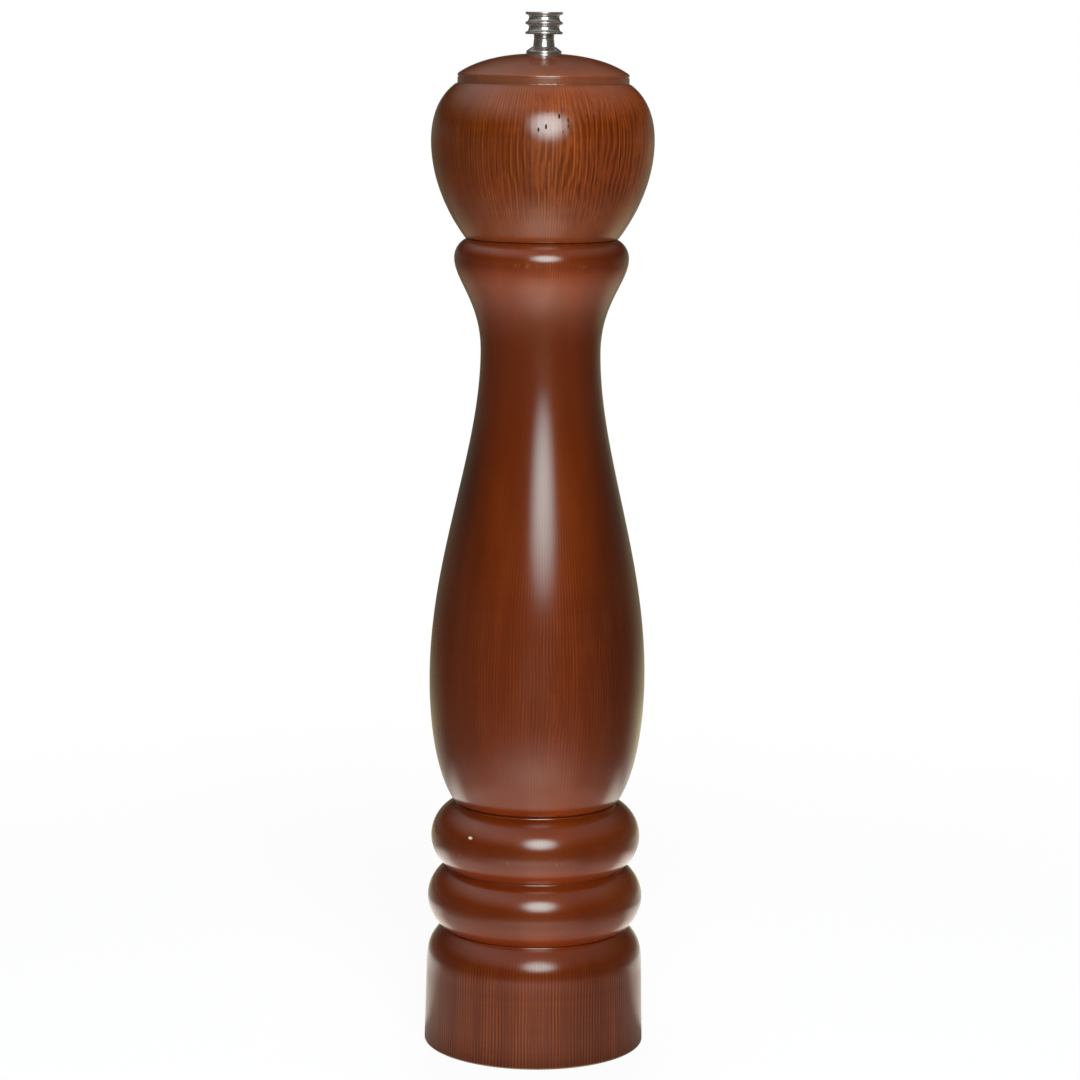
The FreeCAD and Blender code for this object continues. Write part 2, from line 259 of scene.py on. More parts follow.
def shoulder(radius, low, inset, height, count):
    """Arc that leaves an upright wall and ends inset further in and height further up."""
    rho = (inset ** 2 + height ** 2) / (2 * inset)
    turn = np.linspace(0, math.atan2(height, rho - inset), count)
    return np.stack([radius - rho + rho * np.cos(turn), low + rho * np.sin(turn)], axis=-1)


def bead(start_radius, crown, crown_z, rho, above, count):
    """Circle of radius rho about the crown, from the groove's radius below to a height above."""
    first = -math.acos((start_radius - crown + rho) / rho)
    turn = np.linspace(first, math.asin(above / rho), count)
    return np.stack([crown - rho + rho * np.cos(turn), crown_z + rho * np.sin(turn)], axis=-1)


def trimmed(run, cut_start, cut_end):
    """A run of points without that much of its length at its start and its end."""
    length = np.concatenate([[0], np.cumsum(np.hypot(*np.diff(run, axis=0).T))])
    keep = (length > cut_start) & (length < length[-1] - cut_end)
    ends = np.array([cut_start, length[-1] - cut_end])
    first, last = np.stack([np.interp(ends, length, run[:, k]) for k in (0, 1)], axis=-1)
    return np.vstack([first, run[keep], last])


def joined(runs, rounds, closed, count=7):
    """Runs end to end; each corner is cut back by its round and bridged by a parabola through it.

    rounds gives the corner at each run's start.  Returns the section and each point's run."""
    ends = list(rounds[1:]) + [rounds[0]]
    t = np.linspace(0, 1, count)[:, None]
    points, owner = [], []
    for index, run in enumerate(runs):
        part = trimmed(run, rounds[index], ends[index])
        points.append(part)
        owner.append(np.full(len(part), index))
        following = runs[(index + 1) % len(runs)]
        if index + 1 < len(runs) or closed:
            after = trimmed(following, ends[index], 0)[0]
            bridge = (1 - t) ** 2 * part[-1] + 2 * t * (1 - t) * following[0] + t ** 2 * after
            points.append(bridge[1:-1])
            owner.append(np.full(count - 2, index))
    points, owner = np.vstack(points), np.concatenate(owner)
    apart = np.hypot(*(points - np.roll(points, 1, axis=0)).T) > 1e-6
    return points[apart], owner[apart]


def put_mesh(name, points, faces, materials, face_material, sharp_deg=40.0):
    """A mesh object at the origin from points in metres and quads or triangles."""
    mesh = bpy.data.meshes.new(name)
    mesh.from_pydata(points, [], faces)
    for material in materials:
        mesh.materials.append(material)
    mesh.polygons.foreach_set("material_index", np.asarray(face_material, dtype=np.int32))
    mesh.shade_smooth()
    mesh.set_sharp_from_angle(angle=math.radians(sharp_deg))
    mesh.update()
    piece = bpy.data.objects.new(name, mesh)
    bpy.context.scene.collection.objects.link(piece)
    return piece


def turned(name, section, materials, row_material=None, segments=96, shape=None, centre=(0.0, 0.0)):
    """Surface of revolution: (r cos a, r sin a, z) for each section point (r, z) and each angle a.

    The section runs anticlockwise in radius and height.  One that starts and ends on the axis is
    closed there by fans; any other is a loop.  shape(r, z, a) gives the radius and height to use."""
    if row_material is None:
        row_material = np.zeros(len(section), int)
    angle = np.arange(segments) * (TAU / segments)
    on_axis = section[0, 0] < 1e-9
    rows = section[1:-1] if on_axis else section
    radius, height = (np.broadcast_to(rows[:, k:k + 1], (len(rows), segments)) for k in (0, 1))
    if shape is not None:
        radius, height = shape(radius, height, angle)
    grid = np.stack([radius * np.cos(angle) + centre[0], radius * np.sin(angle) + centre[1], height], axis=-1)
    count = len(rows)
    place = np.arange(count * segments).reshape(count, segments)
    beside = np.roll(place, -1, axis=1)
    above, above_beside = np.roll(place, -1, axis=0), np.roll(beside, -1, axis=0)
    quads = np.stack([place, beside, above_beside, above], axis=-1)
    points = grid.reshape(-1, 3)
    if not on_axis:
        faces = quads.reshape(-1, 4).tolist()
        used = np.repeat(row_material, segments)
        return put_mesh(name, points * MM, faces, materials, used)
    ends = [[*centre, height[0].mean()], [*centre, height[-1].mean()]]
    points = np.vstack([points, ends])
    first = np.full(segments, count * segments)
    start_fan = np.stack([first, beside[0], place[0]], axis=-1)
    end_fan = np.stack([first + 1, place[-1], beside[-1]], axis=-1)
    faces = quads[:-1].reshape(-1, 4).tolist() + start_fan.tolist() + end_fan.tolist()
    inner = row_material[1:-2]
    used = np.concatenate([np.repeat(inner, segments),
                           np.full(segments, row_material[0]), np.full(segments, row_material[-2])])
    return put_mesh(name, points * MM, faces, materials, used)


def body_section():
    """The body's half section as a loop, and each row's finish: 0 lacquered outside, 1 bare."""
    foot_arris = np.array([FOOT_ARRIS, FOOT_ARRIS_Z])
    lower_z = FOOT_ARRIS_Z + LOWER_BEAD_BELOW
    lower_arris_z = lower_z + LOWER_BEAD_ABOVE
    upper_z = lower_arris_z + UPPER_BEAD_BELOW
    upper_arris_z = upper_z + UPPER_BEAD_ABOVE
    bulge_foot_z = upper_arris_z + BULGE_FOOT_RISE
    bulge_z = bulge_foot_z + BULGE_HEIGHT
    neck_z = bulge_z + NECK_HEIGHT
    collar_z = neck_z + COLLAR_HEIGHT
    top_z = collar_z + COLLAR_ROUND_HEIGHT

    base_wall = straight((STOCK, 0), (BASE_TOP, BASE_WALL), 24)
    base_round = curve((BASE_TOP, BASE_WALL), (BASE_TOP, BASE_WALL + BASE_ROUND_RISE),
                       foot_arris + BASE_ROUND_LEAN, foot_arris, 32)
    lower = bead(FOOT_ARRIS - GROOVE_DEPTH, LOWER_BEAD, lower_z, LOWER_BEAD_CURVE, LOWER_BEAD_ABOVE, 44)
    upper = bead(lower[-1, 0] - GROOVE_DEPTH, UPPER_BEAD, upper_z, UPPER_BEAD_CURVE, UPPER_BEAD_ABOVE, 44)
    upper_groove = upper[-1] + (-GROOVE_DEPTH, GROOVE_RISE)
    bulge_foot = upper[-1] + (BULGE_FOOT_STEP, BULGE_FOOT_RISE)
    low_bulge = curve(bulge_foot, bulge_foot + BULGE_FOOT_LEAN,
                      (BULGE, bulge_z - BULGE_FULLNESS[0]), (BULGE, bulge_z), 36)
    waist = curve((BULGE, bulge_z), (BULGE, bulge_z + BULGE_FULLNESS[1]),
                  (NECK, neck_z - NECK_FULLNESS[0]), (NECK, neck_z), 54)
    flare = curve((NECK, neck_z), (NECK, neck_z + NECK_FULLNESS[1]),
                  (COLLAR, collar_z - COLLAR_FULLNESS), (COLLAR, collar_z), 36)
    collar = shoulder(COLLAR, collar_z, COLLAR_ROUND_INSET, COLLAR_ROUND_HEIGHT, 22)
    runs = [
        straight((FOOT_RECESS, 0), (STOCK, 0)),
        np.vstack([base_wall, base_round[1:]]),
        *chain(base_round[-1], base_round[-1] + LIP, lower[0]),
        lower,
        *chain(lower[-1], lower[-1] + LIP, upper[0]),
        upper,
        *chain(upper[-1], upper[-1] + LIP, upper_groove, bulge_foot),
        np.vstack([low_bulge, waist[1:], flare[1:], collar[1:]]),
        *chain(collar[-1], (CHAMBER, top_z), (CHAMBER, RECESS_TOP), (RECESS, RECESS_TOP),
               (RECESS, LEDGE), (FOOT_RECESS, LEDGE), (FOOT_RECESS, 0)),
    ]
    arris = [ARRIS_ROUND, LIP_ROUND, VALLEY_ROUND]
    rounds = [BARE_ROUND, RIM_ROUND] + 3 * arris + [VALLEY_ROUND, EDGE_ROUND] + 5 * [BARE_ROUND]
    section, owner = joined(runs, rounds, closed=True)
    return section, np.where((owner >= 1) & (owner <= 12), 0, 1)


def head_section(foot_z):
    """The head's half section as a loop, and each row's finish: 0 lacquered outside, 1 bare."""
    tenon_z = foot_of("head")
    head_z = foot_z + HEAD_LOWER_HEIGHT
    step_z = head_z + HEAD_UPPER_HEIGHT
    dome_edge_z = step_z + BAND_HEIGHT
    dome_z = dome_edge_z + DOME_HEIGHT
    seat_z = foot_of("cap_washer")
    bush_z = foot_of("head_bush")

    lower = curve((HEAD_FOOT, foot_z), np.array([HEAD_FOOT, foot_z]) + HEAD_FOOT_LEAN,
                  (HEAD, head_z - HEAD_LOWER_FULLNESS), (HEAD, head_z), 44)
    upper = curve((HEAD, head_z), (HEAD, head_z + HEAD_UPPER_FULLNESS),
                  np.array([HEAD_SHOULDER, step_z]) + HEAD_SHOULDER_LEAN, (HEAD_SHOULDER, step_z), 34)
    groove_z = dome_edge_z - DOME_GROOVE_BELOW
    dome_groove = np.vstack([arc((BAND, groove_z - DOME_GROOVE), (BAND - DOME_GROOVE, groove_z),
                                 (BAND, groove_z + DOME_GROOVE), 9), [[BAND, dome_edge_z]]])
    cove = curve((HEAD_SHOULDER, step_z), (BAND, step_z), (BAND, step_z), (BAND, step_z + COVE), 12)
    dome = curve((BAND, dome_edge_z), np.array([BAND, dome_edge_z]) + DOME_EDGE_LEAN,
                 (DOME_FULLNESS, dome_z), (0, dome_z), 50)
    dome = dome[dome[:, 0] > WASHER_SEAT]
    seat_edge = np.array([WASHER_SEAT, dome[-1, 1]])
    runs = [
        *chain((BAR_HOLE, tenon_z), (TENON, tenon_z), (TENON, foot_z), (HEAD_FOOT, foot_z)),
        np.vstack([lower, upper[1:]]),
        cove,
        np.vstack([straight((BAND, step_z + COVE), (BAND, groove_z - DOME_GROOVE), 6), dome_groove[1:]]),
        np.vstack([dome, seat_edge]),
        *chain(seat_edge, (WASHER_SEAT, seat_z), (BUSH_HOLE, seat_z), (BUSH_HOLE, bush_z),
               (BAR_HOLE, bush_z), (BAR_HOLE, tenon_z)),
    ]
    rounds = [BARE_ROUND, BARE_ROUND, VALLEY_ROUND, EDGE_ROUND, STEP_ROUND, 0.0, DOME_EDGE_ROUND]
    rounds += 2 * [SEAT_ROUND] + 3 * [HOLE_ROUND]
    section, owner = joined(runs, rounds, closed=True)
    return section, np.where((owner >= 2) & (owner <= 7), 0, 1)


def torn_band(low, high):
    """Shape of the head: small tears where the band's two edges were cut against the grain.

    Three sine waves round the axis, kept where they add up to more than zero, are cut into the radius
    next to each edge, on two opposite sides, and fade out with the height above and below it."""
    def shape(radius, height, angle):
        cut = 0.0
        for edge, start in ((low, 0.0), (high, 2.1)):
            rough = (np.sin(67 * angle + start) + 0.7 * np.sin(113 * angle + 1.1 + start)
                     + 0.6 * np.sin(181 * angle + 2.0 - start))
            cut = cut + np.exp(-((height - edge) / TEAR_HEIGHT) ** 2) * np.clip(rough, 0, None)
        side = np.abs(np.cos(angle + TEAR_SIDE)) ** 6
        return radius - (radius > HEAD_SHOULDER - TEAR_REACH) * TEAR_DEPTH * side * cut, height
    return shape


def nut_section():
    """The finial nut's half section, from the roof of its blind thread round to the top's middle."""
    low = top_of("cap_washer")
    neck_z = low + NUT_NECK_HEIGHT
    groove = NUT_FLANGE - NUT_GROOVE_DEPTH
    flange_z = neck_z + np.arange(3) * (NUT_FLANGE_EDGE + NUT_GROOVE_WIDTH)
    top = flange_z[2] + NUT_FLANGE_EDGE
    roof = top - NUT_BORE_ROOF
    waist = NUT_NECK - NUT_NECK_WAIST
    on_neck = (NUT_NECK - NUT_NECK_CURVE[0] * NUT_NECK_WAIST, low + NUT_NECK_CURVE[1] * NUT_NECK_HEIGHT)
    runs = [
        *chain((0, roof), (THREAD_BORE, roof), (THREAD_BORE, low), (NUT_NECK, low)),
        arc((NUT_NECK, low), on_neck, (waist, neck_z), 60),
        straight((waist, neck_z), (NUT_FLANGE, neck_z)),
    ]
    for start, following in zip(flange_z[:-1], flange_z[1:]):
        edge = start + NUT_FLANGE_EDGE
        runs.append(straight((NUT_FLANGE, start), (NUT_FLANGE, edge)))
        wall = groove + NUT_GROOVE_TAPER
        lower = curve((NUT_FLANGE, edge), (wall + NUT_FILLET_PULL, edge + NUT_FILLET_LIFT),
                      (wall, edge + NUT_FILLET_PULL), (wall, edge + NUT_FILLET), 10)
        upper = curve((groove, following - NUT_FILLET), (groove, following - NUT_FILLET_PULL),
                      (groove + NUT_FILLET_PULL, following - NUT_FILLET_LIFT), (NUT_FLANGE, following), 10)
        runs.append(np.vstack([lower, upper]))
    runs.append(straight((NUT_FLANGE, flange_z[2]), (NUT_FLANGE, top)))
    runs.append(straight((NUT_FLANGE, top), (0, top), 4))
    rounds = [0, HOLE_ROUND] + 3 * [CHROME_ROUND] + 6 * [2 * CHROME_ROUND]
    return joined(runs, rounds, closed=False)[0]


def scored_neck(radius, height, angle):
    """Shape of the nut: one fine line, round in section, turned into its neck."""
    line_z = top_of("cap_washer") + NUT_NECK_LINE
    on_neck = (radius > THREAD_BORE + 0.3) & (radius < NUT_NECK + 0.05)
    line = np.exp(-((height - line_z) / NUT_LINE_WIDTH) ** 2)
    return radius - on_neck * NUT_LINE_DEPTH * line, height


def washer_section():
    """The conical washer's half section as a loop."""
    low, high = foot_of("cap_washer"), top_of("cap_washer")
    runs = [
        *chain((THREAD_BORE, low), (CAP_WASHER, low), (CAP_WASHER, low + CAP_WASHER_RIM)),
        straight((CAP_WASHER, low + CAP_WASHER_RIM), (CAP_WASHER_TOP, high), 5),
        *chain((CAP_WASHER_TOP, high), (THREAD_BORE, high), (THREAD_BORE, low)),
    ]
    rounds = [HOLE_ROUND, HOLE_ROUND, CHROME_ROUND, CHROME_ROUND, HOLE_ROUND]
    return joined(runs, rounds, closed=True)[0]


def shaft_section():
    """Rows of the shaft from its lower end to its upper one; shaft_shape gives each row its outline."""
    low, high = foot_of("shaft"), top_of("shaft")
    bar_head = foot_of("head_bush") - BAR_HEAD_BELOW_BUSH
    clip = foot_of("shaft_clip")
    step = THREAD_PITCH / ROWS_PER_PITCH
    lower = straight((THREAD, low), (THREAD, BAR_FOOT), int((BAR_FOOT - low) / step))
    upper = straight((THREAD, bar_head), (THREAD, high), int((high - bar_head) / step))
    bar = [(SHAFT_CORNER - BAR_CHAMFER, BAR_FOOT), (SHAFT_CORNER, BAR_FOOT + BAR_CHAMFER),
           (SHAFT_CORNER, clip), (CLIP_GROOVE, clip), (CLIP_GROOVE, clip + CLIP_GROOVE_HEIGHT),
           (SHAFT_CORNER, clip + CLIP_GROOVE_HEIGHT), (SHAFT_CORNER, bar_head - BAR_CHAMFER),
           (SHAFT_CORNER - BAR_CHAMFER, bar_head)]
    return np.vstack([[(0, low)], lower, bar, upper, [(0, high)]])


def shaft_shape(radius, height, angle):
    """Square bar with blunted corners, cut to each row's radius, and a V thread on its round ends.

    The thread's depth is a triangle wave of height over pitch less angle over a full turn, and each
    end runs out to a point."""
    square = SHAFT_HALF / np.maximum(np.abs(np.cos(angle)), np.abs(np.sin(angle)))
    square = np.minimum(square, SHAFT_CORNER - SHAFT_CORNER_FLAT)
    wave = np.abs(2 * ((height / THREAD_PITCH - angle / TAU) % 1.0) - 1)
    below_top = np.clip((top_of("shaft") - height) / THREAD_RUN_OUT, 0, 1)
    point = below_top * np.clip((height - foot_of("shaft")) / THREAD_RUN_OUT, 0, 1)
    thread = THREAD - THREAD_DEPTH * wave * point - THREAD_TAPER * (1 - point)
    return np.where(radius < THREAD + 0.01, thread, np.minimum(square, radius)), height


def lock_nut_section():
    """The lock nut's half section as a loop: collar below, hexagon above, chamfered at both ends."""
    low, high = foot_of("rotor_nut"), top_of("rotor_nut")
    hexagon = low + LOCK_NUT_COLLAR_HEIGHT
    corner = LOCK_NUT_HALF_FLATS / math.cos(math.pi / 6)
    entry, exit_edge = LOCK_NUT_BORE_EDGES
    return np.array([(THREAD_BORE, low + entry), (THREAD_BORE + entry, low),
                     (LOCK_NUT_COLLAR - LOCK_NUT_COLLAR_EDGE, low),
                     (LOCK_NUT_COLLAR, low + LOCK_NUT_COLLAR_EDGE),
                     (LOCK_NUT_COLLAR, hexagon), (LOCK_NUT_HALF_FLATS, hexagon),
                     (corner, hexagon + LOCK_NUT_CHAMFER), (corner, high - LOCK_NUT_CHAMFER),
                     (LOCK_NUT_HALF_FLATS, high), (THREAD_BORE + exit_edge, high),
                     (THREAD_BORE, high - exit_edge)])


def lock_nut_shape(radius, height, angle):
    """Hexagon: half the width across flats over the cosine of the angle from the nearest flat's middle."""
    sixth = math.pi / 3
    hexagon = LOCK_NUT_HALF_FLATS / np.cos((angle + sixth / 2) % sixth - sixth / 2)
    return np.where(radius > LOCK_NUT_COLLAR + 0.01, np.minimum(hexagon, radius), radius), height


def screw_section(radius, head_z, tip_z):
    """A pan-head screw that points up, from the middle of its head's face to its tip."""
    head = radius * SCREW_HEAD_RATIO
    face = head_z - SCREW_HEAD_HEIGHT
    pan = arc((0.0, face), (head * 0.6, face + 0.14 * SCREW_HEAD_HEIGHT), (head * 0.93, face + 0.5), 15)
    shank = straight((radius, head_z), (radius, tip_z - 2 * radius), 60)
    edge = [(head, face + 0.8), (head, head_z)]
    return np.vstack([pan, edge, shank, [(0.3 * radius, tip_z), (0.0, tip_z)]])


def screw_shape(radius_of_shank, head_z):
    """A cross recess sunk into the head's face, and a coarse thread cut into the shank.

    The recess is two crossed bars with soft edges, in proportion to the shank's radius; the thread is
    a raised cosine of height over pitch, less the angle."""
    def shape(radius, height, angle):
        x, y = np.abs(radius * np.cos(angle)), np.abs(radius * np.sin(angle))
        bar = CROSS_HALF_WIDTH * radius_of_shank
        inside = np.clip((CROSS_REACH * radius_of_shank - radius) / 0.15, 0, 1)
        cross = np.clip((bar - np.minimum(x, y)) / 0.1, 0, 1) * inside
        face = height < head_z - 0.5 * SCREW_HEAD_HEIGHT
        thread = 0.5 + 0.5 * np.cos(TAU * (height / SCREW_PITCH) - angle)
        on_shank = (height > head_z + 0.8) & (radius > 0.9 * radius_of_shank)
        return radius - on_shank * SCREW_THREAD_DEPTH * thread, height + face * CROSS_DEPTH * cross
    return shape


def spring_coil(name, material):
    """Round wire along a helix whose first and last turns lie close, and whose other turns are open.

    Each ring is centre + w (outward cos b + upward sin b) for the wire's half thickness w and angle b."""
    high = foot_of("thrust_washer")
    low = high - SPRING_LENGTH
    wire = SPRING_WIRE / 2
    turns = np.linspace(0, SPRING_TURNS, COIL_STEPS * SPRING_TURNS + 1)
    rise = high - low - SPRING_WIRE
    lift = np.interp(turns, [0, 1, SPRING_TURNS - 1, SPRING_TURNS],
                     [0, SPRING_WIRE, rise - SPRING_WIRE, rise])
    angle = TAU * turns
    outward = np.stack([np.cos(angle), np.sin(angle), 0 * angle], axis=-1)
    middle = SPRING * outward + np.stack([0 * lift, 0 * lift, low + wire + lift], axis=-1)
    along = np.gradient(middle, axis=0)
    upward = np.cross(outward, along)
    upward *= np.sign(upward[:, 2:]) / np.linalg.norm(upward, axis=1, keepdims=True)
    turn = np.arange(WIRE_SIDES) * (TAU / WIRE_SIDES)
    rings = middle[:, None] + wire * (np.cos(turn)[:, None] * outward[:, None]
                                      + np.sin(turn)[:, None] * upward[:, None])
    rings[..., 2] = np.clip(rings[..., 2], low, high)
    place = np.arange(len(turns) * WIRE_SIDES).reshape(len(turns), WIRE_SIDES)
    beside = np.roll(place, -1, axis=1)
    quads = np.stack([place[:-1], place[1:], beside[1:], beside[:-1]], axis=-1)
    faces = quads.reshape(-1, 4).tolist() + [place[0].tolist(), place[-1][::-1].tolist()]
    return put_mesh(name, rings.reshape(-1, 3) * MM, faces, [material], np.zeros(len(faces), int))


def add(tree, kind, inputs=None, **settings):
    """One shader node: its settings, then each input as a fixed value or another node's output."""
    made = tree.nodes.new("ShaderNode" + kind)
    for name, value in settings.items():
        setattr(made, name, value)
    set_inputs(tree, made, inputs or {})
    return made


def set_inputs(tree, node, values):
    """Links each input that is given a socket, and fixes each that is given a value."""
    for key, value in values.items():
        if isinstance(value, bpy.types.NodeSocket):
            tree.links.new(value, node.inputs[key])
        else:
            node.inputs[key].default_value = value


def math_node(tree, operation, first, second=0.0, clamp=False):
    """One arithmetic node on one value or two."""
    inputs = {0: first, 1: second}
    return add(tree, "Math", inputs, operation=operation, use_clamp=clamp).outputs[0]


def times(tree, first, *others):
    """All the values multiplied together."""
    for other in others:
        first = math_node(tree, "MULTIPLY", first, other)
    return first


def plus(tree, first, *others):
    """All the values added up."""
    for other in others:
        first = math_node(tree, "ADD", first, other)
    return first


def less(tree, first, second, clamp=False):
    """The first value less the second."""
    return math_node(tree, "SUBTRACT", first, second, clamp)


def size_of(tree, value):
    """A value without its sign."""
    return math_node(tree, "ABSOLUTE", value)


def split(tree, vector):
    """The three parts of a vector, by the names X, Y and Z."""
    return add(tree, "SeparateXYZ", {0: vector}).outputs


def vector_node(tree, operation, first, second):
    """One arithmetic node on two vectors."""
    return add(tree, "VectorMath", {0: first, 1: second}, operation=operation).outputs[0]


def length_of(tree, vector):
    """The length of a vector."""
    return add(tree, "VectorMath", {0: vector}, operation="LENGTH").outputs["Value"]


def front_turn(tree, xyz):
    """Angle from the front to either side: the arctangent of the size of x over minus y."""
    return math_node(tree, "ARCTAN2", size_of(tree, xyz["X"]), times(tree, xyz["Y"], -1.0))


def span(tree, value, low, high, to_low=0.0, to_high=1.0):
    """Smooth step of a value from one level to another between two places."""
    inputs = {"Value": value, "From Min": low, "From Max": high, "To Min": to_low, "To Max": to_high}
    return add(tree, "MapRange", inputs, interpolation_type="SMOOTHSTEP").outputs[0]


def ramp(tree, factor, stops):
    """Colour ramp through (place, colour) stops."""
    made = add(tree, "ValToRGB", {"Fac": factor})
    elements = made.color_ramp.elements
    while len(elements) < len(stops):
        elements.new(0.5)
    for element, (place, colour) in zip(elements, stops):
        element.position = place
        element.color = (*colour, 1.0)
    return made.outputs["Color"]


def grey(value):
    """A colour without a hue."""
    return (value, value, value)


def graded(tree, value, stops):
    """A level that runs straight between (place, level) stops along a value."""
    return ramp(tree, value, [(place, grey(level)) for place, level in stops])


def noise(tree, place, scale, detail=2.0, roughness=0.5, shift=(0.0, 0.0, 0.0)):
    """Noise whose scale is given for each axis, so that it can be drawn out along the grain."""
    mapping = {"Vector": place, "Scale": scale, "Location": shift}
    mapped = add(tree, "Mapping", mapping).outputs[0]
    inputs = {"Vector": mapped, "Scale": 1.0, "Detail": detail, "Roughness": roughness}
    return add(tree, "TexNoise", inputs).outputs["Fac"]


def mixed(tree, factor, first, second):
    """The first colour where the factor is nought and the second where it is one."""
    inputs = {0: factor, 6: first, 7: second}
    return add(tree, "Mix", inputs, data_type="RGBA").outputs[2]


def bumps(tree, height, strength, distance):
    """Normals that lean with the slope of a height; the distance is in metres."""
    inputs = {"Height": height, "Strength": strength, "Distance": distance}
    return add(tree, "Bump", inputs).outputs[0]


def new_material(name):
    """A material, its node tree, its surface node and the places on the piece."""
    material = bpy.data.materials.new(name)
    material.use_nodes = True
    tree = material.node_tree
    surface = tree.nodes["Principled BSDF"]
    place = add(tree, "TexCoord").outputs["Object"]
    return material, tree, surface, place


# The wood's stain and lacquer.  Places in materials are in metres.
MILL_HEIGHT = 0.305
WHITE = (1.0, 1.0, 1.0, 1.0)
STAIN = [(0.0, (0.054, 0.0058, 0.0004)), (0.5, (0.146, 0.0182, 0.0012)), (1.0, (0.31, 0.06, 0.006))]
HEAD_GOLD = (1.0, 1.26, 1.1, 1.0)
# Pale tone of the painted sheen on the flare, the head's foot and its band
PAINTED_SHEEN_COLOUR = (0.30, 0.21, 0.16, 1.0)
CUT_RAY_COLOUR = (0.34, 0.11, 0.045, 1.0)
PORE_COLOUR = (0.012, 0.004, 0.002, 1.0)
CHIP_COLOUR = (0.86, 0.74, 0.62, 1.0)
FIBRE_LUSTRE = (1.0, 0.2, 0.04, 1.0)
LACQUER_IOR = 1.7
MIDDLE_LEVEL = 0.53
GRAIN_SWAY = 0.003
FINE_LINE_COUNT = 205.0
PORE_SPOT = (0.0022, 0.2743)
PORE_SLANT = 0.3
CHIP_SPOT = (-0.01891, -0.02342, 0.0670)

# Lines round the axis, and how often each line breaks off
BODY_DASHES = (158.0, 75.0)
HEAD_DASHES = (108.0, 140.0)

# Height and half width of each row
FLECK_ROWS = [(0.0410, 0.0013), (0.0610, 0.0010), (0.2338, 0.0010)]

# A level at each part of the mill's height, from 0 at its foot to 1 at its top
DASH_DEPTH = [
    (0.0, 0.0), (0.28, 0.0), (0.34, 0.25), (0.42, 0.32), (0.47, 0.0), (0.77, 0.06),
    (0.80, 0.15), (0.84, 0.75), (0.90, 0.9), (0.925, 0.3), (0.94, 0.05),
]
LINE_DEPTH = [
    (0.0, 0.5), (0.08, 0.4), (0.11, 0.05), (0.26, 0.08), (0.36, 0.2), (0.44, 0.18),
    (0.6, 0.08), (0.78, 0.12), (0.85, 0.25), (0.93, 0.2), (0.95, 0.1),
]
# Stain level at each height: partly the stain's own tone, partly painted light and painted shade
STAIN_AND_PAINTED_SHADING = [
    (0.0, 0.95), (0.085, 0.95), (0.1, 0.84), (0.112, 0.84), (0.125, 0.95), (0.2, 0.96),
    (0.3, 1.05), (0.4, 1.02), (0.66, 0.82), (0.72, 0.83), (0.755, 1.2), (0.79, 0.86),
    (0.815, 0.82), (0.84, 0.95), (0.905, 0.95), (0.93, 0.87), (0.95, 0.8),
]
# Painted shade: how much darker the stain is made towards the mill's two sides at each height
PAINTED_FLANK_SHADE = [
    (0.02, 0.0), (0.05, 0.13), (0.11, 0.14), (0.13, 0.05), (0.2, 0.05), (0.3, 0.36),
    (0.45, 0.36), (0.56, 0.42), (0.66, 0.38), (0.7, 0.31), (0.775, 0.2), (0.79, 0.0),
]
# Painted shade: how much darker the stain is made on the mill's left at each height
PAINTED_LEFT_SHADE = [
    (0.46, 0.0), (0.52, 0.1), (0.58, 0.3), (0.62, 0.3), (0.7, 0.2), (0.76, 0.1), (0.79, 0.0),
    (0.81, 0.25), (0.84, 0.18), (0.89, 0.16), (0.92, 0.3), (0.945, 0.0),
]
# Painted sheen: how far the stain is blended to a pale tone at each height, a painted reflection
PAINTED_SHEEN = [
    (0.69, 0.0), (0.71, 0.04), (0.73, 0.13), (0.745, 0.14), (0.765, 0.0), (0.78, 0.0), (0.79, 0.05),
    (0.815, 0.05), (0.84, 0.0), (0.928, 0.0), (0.934, 0.14), (0.943, 0.14), (0.948, 0.0),
]
POLISH = [
    (0.072, 0.42), (0.09, 0.72), (0.115, 0.78), (0.138, 0.8), (0.15, 0.95), (0.4, 1.0),
    (0.48, 0.9), (0.62, 0.92), (0.72, 1.0),
]


def swayed(tree, place):
    """Places moved a little sideways by a broad noise, so that the grain isn't straight."""
    waver = noise(tree, place, (110, 110, 55), detail=1.0)
    return vector_node(tree, "ADD", place, times(tree, less(tree, waver, 0.5), GRAIN_SWAY))


def comb(tree, place, count, waver):
    """Upright lines at a near-even pitch: the sine of count times the angle round the axis, pushed to
    and fro by a noise."""
    xyz = split(tree, place)
    angle = math_node(tree, "ARCTAN2", xyz["Y"], xyz["X"])
    push = times(tree, noise(tree, place, (75, 75, 45)), waver)
    return math_node(tree, "SINE", plus(tree, times(tree, angle, count), push))


def fine_lines(tree, place):
    """Fine upright grain, about nought on average: close comb lines that come and go."""
    strength = span(tree, noise(tree, place, (300, 300, 45)), 0.35, 0.65, 0.05, 0.8)
    return times(tree, comb(tree, place, FINE_LINE_COUNT, 7.0), strength)


def vessel_dashes(tree, place, count, breaks):
    """Dark vessel lines in an open comb, broken off along their length by a noise."""
    line = span(tree, comb(tree, place, count, 15.0), -0.6, 0.6)
    there = span(tree, noise(tree, place, (380, 380, breaks), detail=1.0), 0.36, 0.54, 0.12, 1.0)
    return times(tree, line, there)


